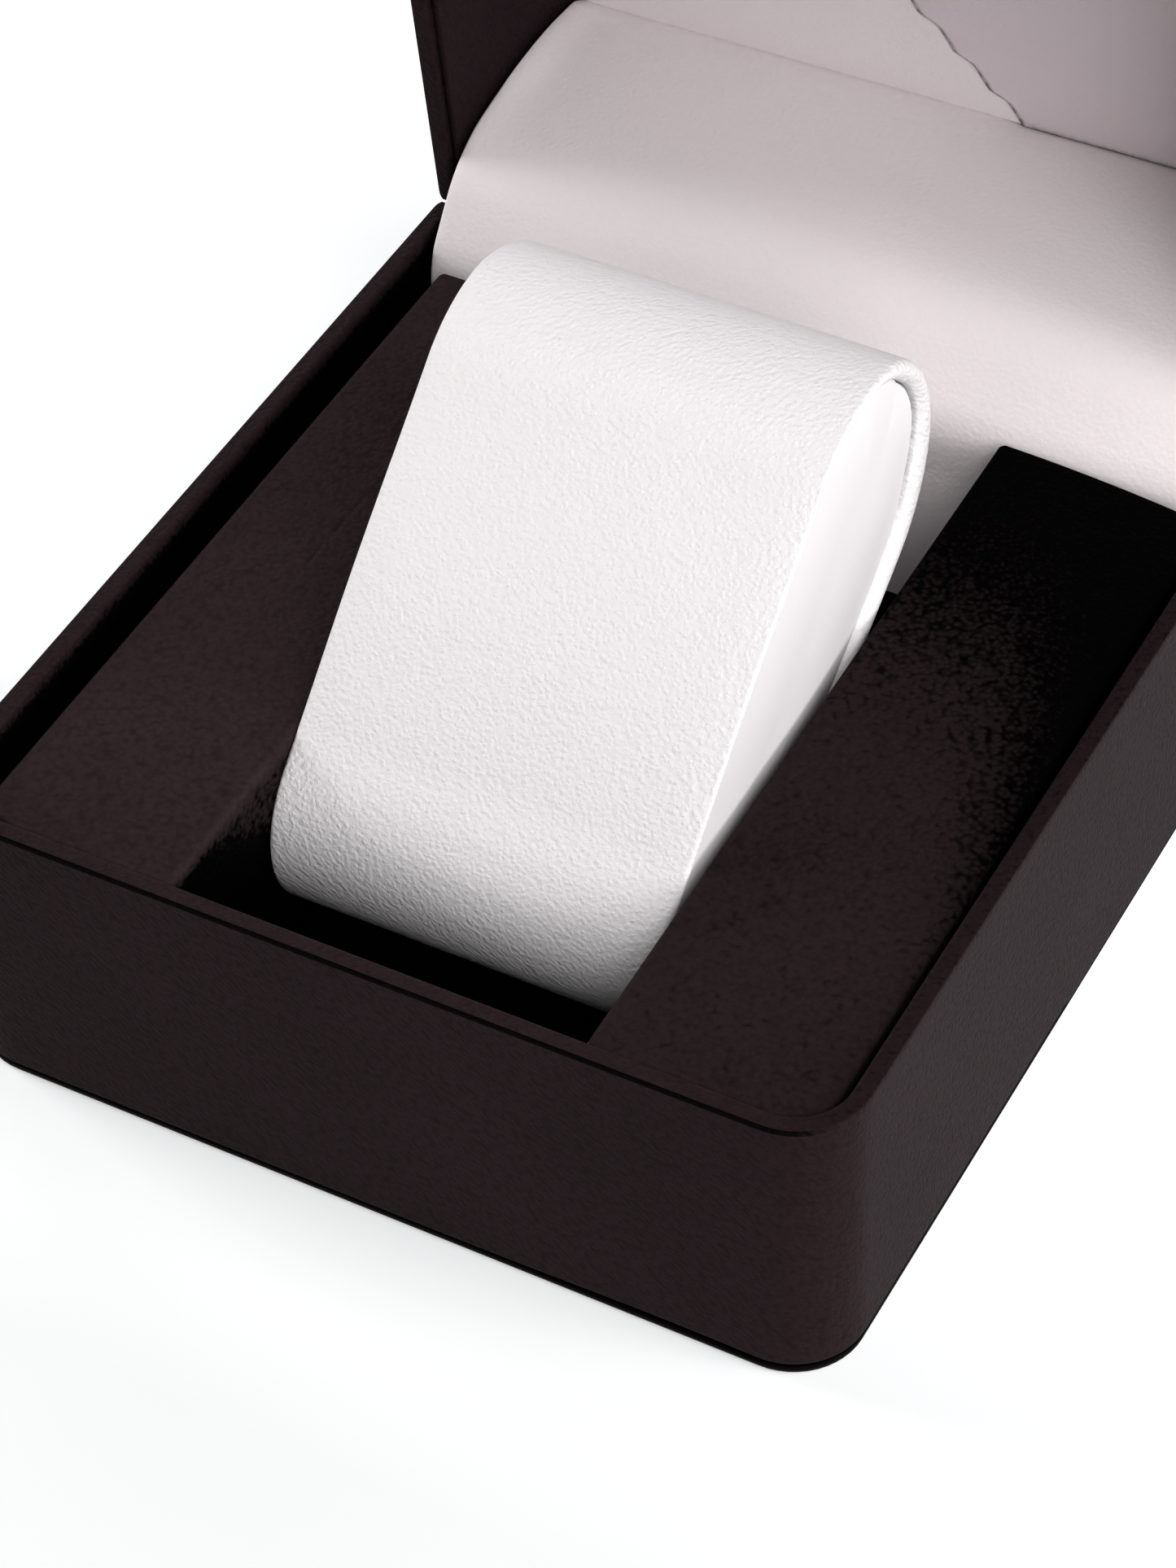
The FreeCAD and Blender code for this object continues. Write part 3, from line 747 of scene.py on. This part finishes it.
def slab(name, top, bottom, marks=None):
    """Closed piece between two grids of the same size: quads on both, and a wall of quads round them."""
    rows, columns = top.shape[:2]
    face = grid_faces(rows, columns)
    loop = np.concatenate([np.arange(rows - 1) * columns, (rows - 1) * columns + np.arange(columns - 1),
                           np.arange(rows - 1, 0, -1) * columns + columns - 1, np.arange(columns - 1, 0, -1)])
    count = rows * columns
    following = np.roll(loop, -1)
    side = np.stack([following, loop, loop + count, following + count], 1)
    points = np.concatenate([top.reshape(-1, 3), bottom.reshape(-1, 3)])
    faces = [face, face[:, ::-1] + count, side]
    if volume(points, faces) < 0:
        faces = [group[:, ::-1] for group in faces]
    uvs = [points[group][..., :2] * MM for group in faces]
    return build(name, points, faces, uvs, marks)


coarse = np.meshgrid(np.linspace(-panel_half, panel_half, coarse_points),
                     np.linspace(0, panel_length, coarse_points), indexing="ij")
panel_swell_field = swollen(np.stack([*coarse, 0 * coarse[0]], -1), panel_swell)
across, up = np.meshgrid(edge_spans(2 * panel_half, panel_roll, panel_grid) - panel_half,
                         edge_spans(panel_length, panel_roll, panel_grid), indexing="ij")
pale_finish = leatherette("pale_leatherette", (0.862, 0.79, 0.8), 0.55, 0.045, specular=0.25, mottle=0.1,
                          gloss=(0.6, 0.7))
# The lapping piece's copy is painted darker: painted shade.
lap_finish = leatherette("pale_leatherette_lap", (0.70, 0.615, 0.645), 0.55, 0.025, specular=0.25,
                         mottle=0.1, gloss=(0.6, 0.7))
panel_back = on_panel(across, up, 0 * across - (panel_high[2] - panel_low[2]))
lid_pad = slab("lid_pad_padded", on_panel(across, up, panel_height(across, up)), panel_back)
fit(lid_pad, "lid", "pale_leatherette", pale_finish, "lid_pad")

# The lapping piece starts at the puckered edge: along the seam it swings out by A times the lesser of
# t / r and (1 - t) / (1 - r), rounded, where t is the share of a pucker and r the share that swings out.
# Its columns of points lie close together beside the seam, and then spread to the panel's right edge.
along_seam = np.linspace(-3, 96, 3000)
share = along_seam / seam_step % 1
out, home = share / seam_rise, (1 - share) / (1 - seam_rise)
sway = seam_sway * -np.log(np.exp(-7 * out) + np.exp(-7 * home)) / 7
to_side = np.array([seam_along[1], -seam_along[0]])
seam_line = seam_start + along_seam[:, None] * seam_along + sway[:, None] * to_side
lap_up = edge_spans(panel_length, 2 * lap_thickness, lap_grid)
seam_across = np.maximum(np.interp(lap_up + panel_up, seam_line[:, 1], seam_line[:, 0]), -panel_half)
beside = np.append([0, 0.02, 0.07, 0.14, 0.22], 0.3 + 0.12 * np.arange(15))
spread = np.linspace(0, 1, 150)[:, None] ** 1.15
from_seam = np.concatenate([beside[:-1, None] + 0 * lap_up,
                            beside[-1] + spread * (panel_half - beside[-1] - seam_across)])
across = seam_across + from_seam
up = np.broadcast_to(lap_up, across.shape)
edge = np.minimum(np.minimum(from_seam, up), panel_length - up)
thick = lap_thickness * np.sqrt(np.clip(1 - (1 - np.clip(edge / lap_thickness, 0, 1)) ** 2, 0, 1))
pucker = 0.12 * np.exp(-from_seam / 2.5) * np.sin(2 * np.pi * (up + panel_up) / (seam_step * seam_along[1]))
under = panel_height(across, up)
# Painted shadow along the lap's edge at the seam and along its lower edge.
seam_and_painted_shade = np.maximum(0.95 * np.exp(-(from_seam / 0.7) ** 4), 0.9 * np.exp(-(up / 0.65) ** 2))
lap_piece = slab("lid_pad_lap", on_panel(across, up, under + thick + pucker * np.clip(edge / 0.6, 0, 1)),
                 on_panel(across, up, under - 0.15), marks={"seam": seam_and_painted_shade})
fit(lap_piece, "lid", "pale_leatherette", lap_finish)

# --- lining ---------------------------------------------------------------------------------------
# One soft sheet of the pale leatherette stands behind the blocks, rolls over the hinges and runs level
# to the lid's panel. Only its two ends are glued.
lining_thickness = 0.8
lining_half = 51.3
lining_columns = 105
lining_bow = 0.9                # the standing part is bowed back in its middle
lining_slant = 0.018            # the far end climbs to the right with the panel's edge
lining_tuck = 0.45              # left of the lap it stands up against the panel's face
lining_curl = 0.9               # its left edge curls up near the far end
lining_turns = [(-9.2, -36.0), (-9.3, -9.0), (-9.2, -1.8), (-5.6, 3.0), (-2.9, 6.5), (1.2, 9.4), (6.4, 10.6),
                (26.5, 12.9), (31.5, 10.95)]     # turns of its upper face, back and up from the hinge line


def lining_line(count):
    """The sheet's upper face as points at equal distances, and its length. Over each inner turn C it is the
    parabola (1-t)^2 A + 2t(1-t) C + t^2 B, where A and B are the middles of the runs that meet there."""
    turns = np.array(lining_turns) + [hinge_y, hinge_z]
    turns[0, 1] = place("rear_lining")[0][2] + 0.1
    ends = (turns[1:] + turns[:-1]) / 2
    ends[0], ends[-1] = turns[0], turns[-1]
    t = np.linspace(0, 1, 40)[None, :, None]
    line = (1 - t) ** 2 * ends[:-1, None] + 2 * t * (1 - t) * turns[1:-1, None] + t**2 * ends[1:, None]
    line = line.reshape(-1, 2)
    run = distances(line)
    even = np.linspace(0, run[-1], count)
    return np.stack([np.interp(even, run, line[:, k]) for k in (0, 1)], 1), run[-1]


line, lining_length = lining_line(150)
along = np.gradient(line, axis=0)
along /= np.linalg.norm(along, axis=1, keepdims=True)
normal = np.stack([-along[:, 1], along[:, 0]], 1)
edge_radius = lining_thickness / 2
edge_turn = np.linspace(-np.pi / 2, np.pi / 2, 6)[1:-1]
flat = np.linspace(-1, 1, lining_columns) * (lining_half - edge_radius)
rounded = lining_half - edge_radius + edge_radius * np.cos(edge_turn)
across = np.concatenate([flat, rounded, flat[::-1], -rounded])[None, :]
beneath = edge_radius * (1 + np.sin(edge_turn))
depth = np.concatenate([0 * flat, beneath, 0 * flat + lining_thickness, beneath[::-1]])
distance = np.linspace(0, lining_length, len(line))[:, None]
from_end = lining_length - distance
standing = np.clip((hinge_z + 2 - line[:, None, 1]) / 12, 0, 1)
level = np.clip(1 - from_end / 28, 0, 1) ** 2
tucked = np.clip((seam_start[0] - across) / 4, 0, 1) * np.clip(1 - from_end / 6, 0, 1)
swell = 0.12 * waves(across, distance, 0.9, 26) * np.clip(distance / 20 - 0.8, 0, 1)
swell = swell * np.clip(from_end / 8, 0, 1)
curl = lining_curl * np.exp(-((across + lining_half) / 3) ** 2)
curl = curl * np.clip((32 - from_end) / 14, 0, 1) * np.clip(from_end / 3, 0, 1)
offset = swell + curl - depth
stack = np.stack([np.broadcast_to(across, offset.shape), line[:, None, 0] + normal[:, None, 0] * offset,
                  line[:, None, 1] + normal[:, None, 1] * offset], -1)
stack[..., 1] += lining_bow * (1 - (across / lining_half) ** 2) * standing
stack[..., 2] += lining_slant * across * level + lining_tuck * tucked
# Painted shade in the crease where the sheet's far end meets the panel, most left of the lap.
crease_painted_shade = 0.2 * np.exp(-(from_end / 0.9) ** 2) * tucked**0.5 + 0.07 * np.exp(-(from_end / 9) ** 2)
lining = shell("lining_sheet", stack, marks={"seam": crease_painted_shade})
lining.data.materials.append(pale_finish)
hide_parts("rear_lining", "lid_back_lining")
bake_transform(lining)

# --- pillow ---------------------------------------------------------------------------------------
# A wedge-shaped pillow that lifts out: a card former over foam, a padded white leatherette band wrapped
# round it with rolled edges, and a covered card panel set into each side. It leans on the left block.
wrap_low, wrap_high = place("pillow_wrap")
nose_radius, crown_radius = 13.5, 17.0
nose = np.array([wrap_low[1] + nose_radius, wrap_low[2] + nose_radius])
crown_centre = np.array([wrap_high[1] - crown_radius, wrap_high[2] - crown_radius])
rear_bow, front_bow = 0.2, 0.45
pillow_lean = -0.3
band_half = wrap_high[0]
band_roll = 1.3                 # radius of the band's rolled edges
band_puff = 0.25
band_columns = 61
run_share = np.linspace(0, 1, 57)[1:-1, None]


def pillow_line():
    """The pillow's side outline as (y, z) points with outward normals: arcs round the nose and the crown
    joined by runs tangent to both, each bowed by b sin^2 along it. It starts under the nose."""
    axis = crown_centre - nose
    lean = math.atan2(axis[1], axis[0])
    spread = math.acos((nose_radius - crown_radius) / np.linalg.norm(axis))
    turns = (np.linspace(lean + spread, lean + 2 * np.pi - spread, 64),
             np.linspace(lean - spread, lean + spread, 76))
    normals = [np.stack([np.cos(turn), np.sin(turn)], 1) for turn in turns]
    arcs = [nose + nose_radius * normals[0], crown_centre + crown_radius * normals[1]]
    points, outward = [], []
    for k, bow in enumerate((rear_bow, front_bow)):
        straight = arcs[k][-1] + run_share * (arcs[1 - k][0] - arcs[k][-1])
        bowed = straight + bow * np.sin(np.pi * run_share) ** 2 * normals[k][-1]
        points += [arcs[k], bowed]
        outward += [normals[k], np.repeat(normals[k][-1:], len(run_share), 0)]
    return np.roll(np.concatenate(points), -40, 0), np.roll(np.concatenate(outward), -40, 0)


def crown_share(middle, width):
    """Bump round the crown: exp(-((a - middle) / width)^2), a being the degrees round from the back."""
    from_centre = outline_yz - crown_centre
    angle = np.degrees(np.arctan2(from_centre[:, 1], from_centre[:, 0]))
    near = np.linalg.norm(from_centre, axis=1) < crown_radius + 4
    return np.exp(-((angle - middle) / width) ** 2) * near


def eased(field, passes):
    """Smooths a field: each pass takes a quarter, a half and a quarter along both directions."""
    for _ in range(passes):
        field = field.copy()
        field[1:-1] = field[1:-1] / 2 + field[:-2] / 4 + field[2:] / 4
        field[:, 1:-1] = field[:, 1:-1] / 2 + field[:, :-2] / 4 + field[:, 2:] / 4
    return field


outline_yz, outward = pillow_line()
run = distances(outline_yz)
facing = np.degrees(np.arctan2(outward[:, 1], outward[:, 0]))
front_share = np.where(facing > -60, np.clip((facing - 50) / 35, 0, 1), np.clip((-80 - facing) / 30, 0, 1))
narrowing = 1 - 0.6 * front_share               # the roll is tight along the front and the nose
widening = narrowing + 0.6 * crown_share(-22, 32)       # and fuller low on the crown's back
turn = np.linspace(np.pi / 2, -np.pi / 2, 13)[1:-1]
roll = band_roll * narrowing[:, None]
flat_x = np.linspace(-1, 1, band_columns) * (band_half - roll)
roll_x = band_half - roll * (1 - np.cos(turn))
across = np.concatenate([flat_x, roll_x, flat_x[:, ::-4], -roll_x], 1)
roll_depth = band_roll * (1 - np.sin(turn))
under = np.full(len(flat_x[0, ::-4]), 2 * band_roll)
depth = np.concatenate([np.zeros(band_columns), roll_depth, under, roll_depth[::-1]])

# The band's cloth is blown up on a grid of every second point, and stands evenly high but for its edges.
every = np.append(np.arange(0, len(run), 2), len(run) - 1)
coarse_x = flat_x[every, ::2]
coarse = np.concatenate([coarse_x[..., None], outline_yz[every][:, None].repeat(coarse_x.shape[1], 1)], 2)
puff = swollen(coarse, 1.0)
even_puff = np.median(puff[:, puff.shape[1] // 2])
puff = np.minimum(puff, even_puff) / even_puff * band_puff
puff[0] = puff[-1] = puff[1]
puff = eased(between(puff, (run / run[-1])[:, None], np.linspace(0, 1, band_columns)[None, :]), 3)
depths = depth[None, :] * np.where(depth > 0, widening[:, None], 1)
depths[:, :band_columns] -= puff + 0.04 * waves(flat_x, run[:, None], 2.6, 14)
band_yz = outline_yz[:, None] - outward[:, None] * depths[..., None]
slit = 0.18 * crown_share(30, 22) ** 0.5 * (crown_share(30, 22) > 0.3) + 0.3 * crown_share(0, 3)
slit = slit + 0.22 * crown_share(-20, 16)       # between the band and the side panels
# Painted shade in the slit, on the band's inner side.
slit_painted_shade = np.clip(slit * 3, 0, 0.35)[:, None] * (depth > 1.93 * band_roll)
white = (0.845, 0.812, 0.822)
white_finish = leatherette("white_leatherette", white, 0.5, 0.125, specular=0.35, mottle=0.06,
                           gloss=(0.5, 0.6), lie=(0, 0.6, 0.9), drawn=1.9)
smooth_white = leatherette("smooth_white_leatherette", white, 0.5, 0.008, specular=0.35, mottle=0.04,
                           gloss=(0.5, 0.58))
band = shell("pillow_band", np.concatenate([across[..., None] + pillow_lean, band_yz], 2), joined=True,
             marks={"seam": slit_painted_shade})
fit(band, "pillow", "white_leatherette", white_finish, "pillow_wrap")

panel_gap = 0.05                # between the band's inner edge and a side panel's rim
panel_inset = 2 * band_roll + panel_gap         # where the band's roll is neither tight nor full
panel_reach = 13.3 - panel_inset                # from the rim to the last ring, near the nose's centre
panel_ease = 10.4               # over which the rings pass from the rim's shape to a plain one
panel_bulge = 0.45
panel_lift = 0.8                # the side panels stand up to the band along the front
for side, sign in (("left", -1), ("right", 1)):
    cover_x = place("pillow_side_cover_" + side)
    board_x = place("pillow_side_board_" + side)
    face_x = sign * max(abs(cover_x[0][0]), abs(cover_x[1][0]))
    back_x = sign * min(abs(board_x[0][0]), abs(board_x[1][0]))
    path = profile([(panel_reach, back_x, 0), (0, back_x, 0), (0, face_x, 0.35), (panel_reach, face_x, 0)],
                   (6, 2, 14))
    ring = np.arange(len(path))
    path[:, 1] += panel_bulge * sign * np.sin(np.clip(path[:, 0] / 9, 0, 1) * np.pi / 2) * (ring > 9)
    rim_share = np.clip(1 - path[:, :1] / panel_ease, 0, 1)
    rim_inset = 2 * band_roll * widening + panel_gap + slit
    insets = path[:, :1] + rim_inset[None, :] * rim_share + panel_inset * (1 - rim_share)
    lift = panel_lift * sign * (front_share[None, :] * rim_share + 0.5 * (1 - rim_share))
    panel_x = path[:, 1:] + lift * (ring > 7)[:, None] + pillow_lean
    panel_yz = outline_yz[None] - outward[None] * insets[..., None]
    # Painted shade in the slit, along the panel's edge.
    slit_painted_shade = np.clip(slit * 3, 0, 1)[None, :] * ((ring > 5) & (ring < 9))[:, None]
    side_panel = shell("pillow_panel_" + side, np.concatenate([panel_x[..., None], panel_yz], 2),
                       marks={"seam": slit_painted_shade})
    fit(side_panel, "pillow", "white_leatherette", smooth_white, "pillow_side_cover_" + side,
        "pillow_side_board_" + side)
finish_nodes(board_finish, "pillow_former")
finish_nodes(flock("pillow_foam", (0.2, 0.19, 0.18)), "pillow_core")

# --- floor, light and camera ----------------------------------------------------------------------
# A pale table under soft studio light: six round softboxes stand round the box, most of them low, and the
# strongest stands on the left.
table_radius = 1.6
softbox_distance = 1.0
softbox_size = 0.5
ambient = 0.05


def seen(tree):
    """One for what the camera sees, straight, by a reflection or through glass; nought for other light."""
    rays = add(tree, "LightPath").outputs
    either = math_node(tree, "MAXIMUM", rays["Is Camera Ray"], rays["Is Glossy Ray"])
    return math_node(tree, "MAXIMUM", either, rays["Is Transmission Ray"])


def floor_finish():
    """White table: what is seen of it is lifted to white, more at the back, and shadows stay in it."""
    made, tree, at = new_material("white_table")
    diffuse = add(tree, "BsdfDiffuse", {"Color": (0.80, 0.80, 0.80, 1)})
    back = add(tree, "SeparateXYZ", {0: at}).outputs["Y"]
    lifted = math_node(tree, "MULTIPLY", seen(tree), ramp(tree, back, -0.09, 0.0, 0.12, 0.55))
    glow = add(tree, "Emission", {"Color": (0.96, 0.98, 1.0, 1), "Strength": lifted})
    both = add(tree, "AddShader", {0: diffuse.outputs[0], 1: glow.outputs[0]})
    add(tree, "OutputMaterial", {"Surface": both.outputs[0]})
    return made


turn = np.linspace(0, 2 * np.pi, 65)[:-1]
table_ring = np.stack([table_radius * np.cos(turn), table_radius * np.sin(turn), 0 * turn + cad_low.z], 1)
table_mesh = bpy.data.meshes.new("table")
table_mesh.from_pydata(table_ring.tolist(), [], [list(range(len(turn)))])
table_mesh.materials.append(floor_finish())
put("table", table_mesh)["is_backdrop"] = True

# There is hardly any ambient light, though the world is seen as plain white.
world = bpy.data.worlds.new("studio")
bpy.context.scene.world = world
world.use_nodes = True
world.node_tree.nodes.clear()
strength = ramp(world.node_tree, seen(world.node_tree), 0.0, 1.0, ambient, 1.0)
sky = add(world.node_tree, "Background", {"Color": (1, 1, 1, 1), "Strength": strength})
add(world.node_tree, "OutputWorld", {"Surface": sky.outputs[0]})

# Each softbox is so many degrees round from +X towards +Y and over the table, and has so many watts.
for name, turn, rise, power in (
        ("left_low", 180, 20, 7.0), ("front_right_high", -45, 50, 4.3), ("front_right_low", -45, 20, 2.6),
        ("right_low", 0, 20, 4.0), ("right_high", 0, 50, 2.6), ("back_left_low", 135, 20, 1.5)):
    lamp = bpy.data.lights.new(name, "AREA")
    lamp.shape = "DISK"
    lamp.size = softbox_size
    lamp.energy = power
    softbox = put(name, lamp)
    turn, rise = math.radians(turn), math.radians(rise)
    away = Vector((math.cos(rise) * math.cos(turn), math.cos(rise) * math.sin(turn), math.sin(rise)))
    softbox.location = Vector((0, 0, 0.03)) + softbox_distance * away
    softbox.rotation_euler = away.to_track_quat("Z", "Y").to_euler()

view_direction = Vector((-0.34596, 0.61747, -0.70643)).normalized()
view_right = Vector((0.88319, 0.46845, -0.02307)).normalized()
view_up = view_right.cross(view_direction)
camera_data = bpy.data.cameras.new("camera")
camera_data.sensor_width = 36
camera_data.lens = 109.57
camera = put("camera", camera_data)
camera.matrix_world = Matrix.Translation((0.18559, -0.33948, 0.40067)) @ Matrix(
    (view_right, view_up, -view_direction)).transposed().to_4x4()
bpy.context.scene.camera = camera
bpy.context.scene.view_settings.view_transform = "Standard"

# --- size -----------------------------------------------------------------------------------------
# The finished model's box, found as the CAD box was.
low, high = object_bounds()
